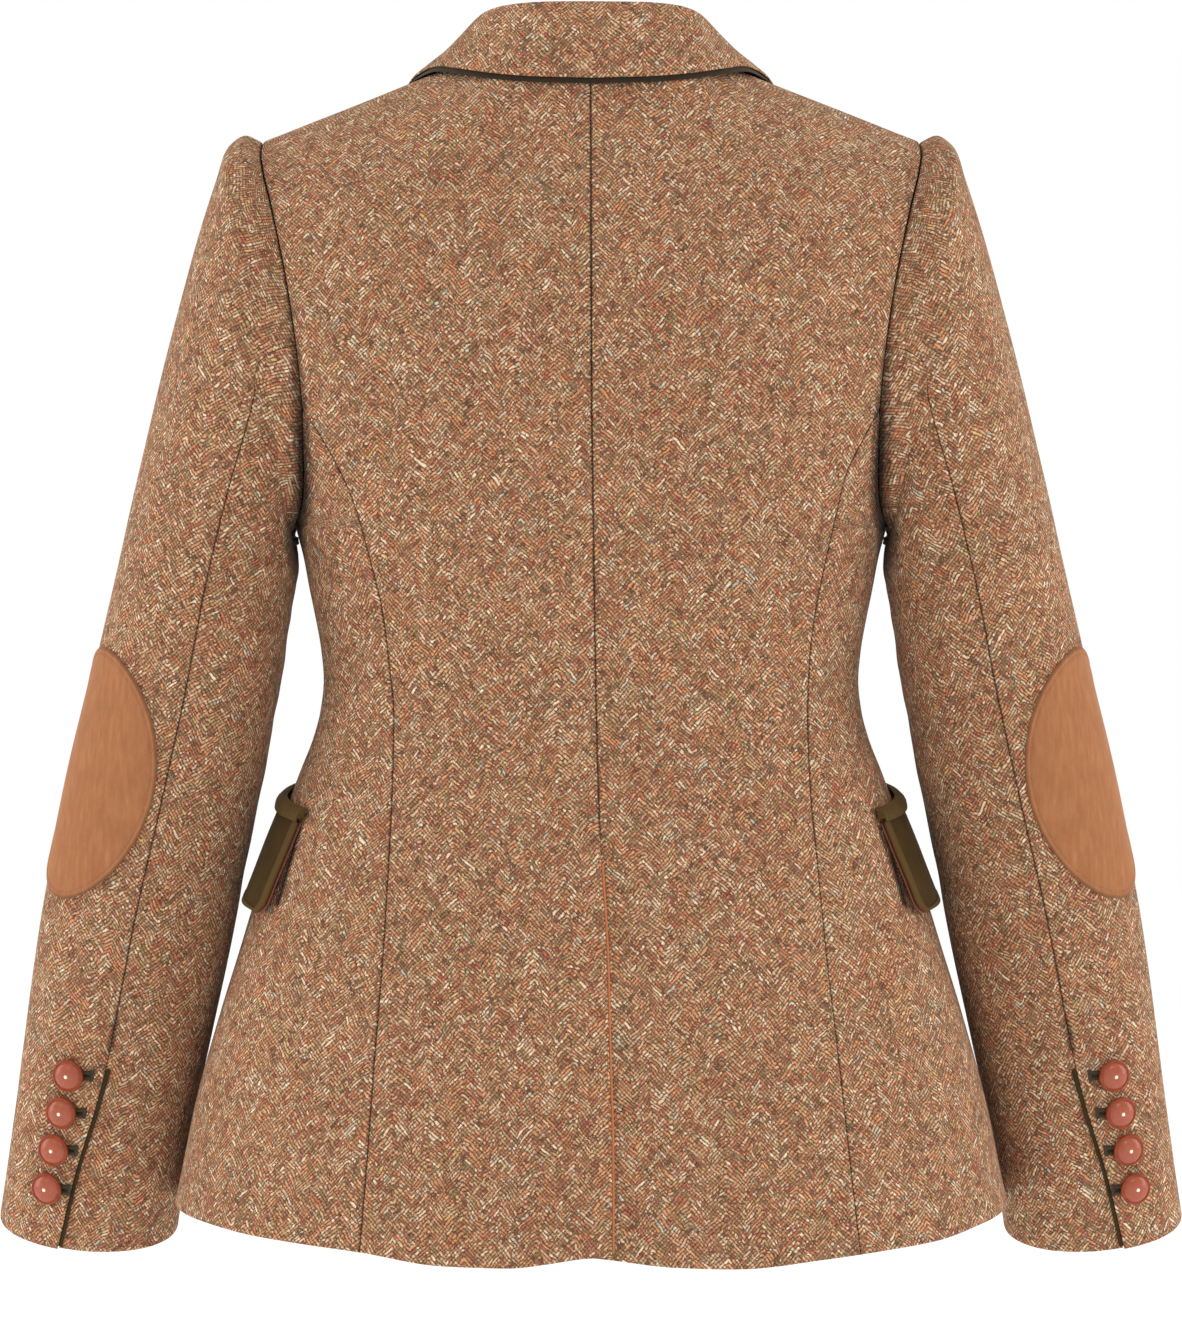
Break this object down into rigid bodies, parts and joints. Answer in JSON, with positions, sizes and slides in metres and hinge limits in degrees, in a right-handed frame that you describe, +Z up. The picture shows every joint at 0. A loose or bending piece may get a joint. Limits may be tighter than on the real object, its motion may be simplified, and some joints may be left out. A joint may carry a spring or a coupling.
{
  "type": "tweed hacking jacket",
  "caption": "Fitted single-breasted tweed hacking jacket in its worn shape, hollow, with collar and lapels, slanted flap pockets, centre vent, suede elbow patches and buttoned cuffs.",
  "frame": {"origin": "midway between the two side-neck points, where the jacket hangs from the wearer's shoulders", "axes": "+Z up; the wearer faces -Y, so the back of the jacket is towards +Y; +X is the wearer's left"},
  "size_m": [0.6832, 0.2817, 0.7078],
  "materials": {
    "tweed": "woollen herringbone tweed, matt",
    "moleskin": "olive moleskin, short nap",
    "under_collar": "dark olive-brown felt",
    "buttonhole": "dark olive silk twist",
    "button": "polished chestnut resin with a bright rim",
    "suede": "tan suede, short nap",
    "facing": "rust-orange facing cloth"
  },
  "bodies": {
    "root": {"back_left": "tweed", "back_right": "tweed", "side_back_left": "tweed", "side_back_right": "tweed", "front_left": "tweed", "front_right": "tweed", "sleeve_upper_left": "tweed", "sleeve_upper_right": "tweed", "sleeve_under_left": "tweed", "sleeve_under_right": "tweed", "lapel_left": "tweed", "lapel_right": "tweed", "collar_upper": "tweed", "pocket_flap_left": "moleskin", "pocket_flap_right": "moleskin", "pocket_welt_left": "moleskin", "pocket_welt_right": "moleskin", "collar_under": "under_collar", "cuff_facing_left": "under_collar", "cuff_facing_right": "under_collar", "cuff_hole_left_1": "buttonhole", "cuff_hole_left_2": "buttonhole", "cuff_hole_left_3": "buttonhole", "cuff_hole_left_4": "buttonhole", "cuff_hole_right_1": "buttonhole", "cuff_hole_right_2": "buttonhole", "cuff_hole_right_3": "buttonhole", "cuff_hole_right_4": "buttonhole", "cuff_button_left_1": "button", "cuff_button_left_2": "button", "cuff_button_left_3": "button", "cuff_button_left_4": "button", "cuff_button_right_1": "button", "cuff_button_right_2": "button", "cuff_button_right_3": "button", "cuff_button_right_4": "button", "front_button_1": "button", "front_button_2": "button", "front_button_3": "button", "elbow_patch_left": "suede", "elbow_patch_right": "suede", "flap_lining_left": "facing", "flap_lining_right": "facing", "vent_facing": "facing"}
  },
  "joints": []
}
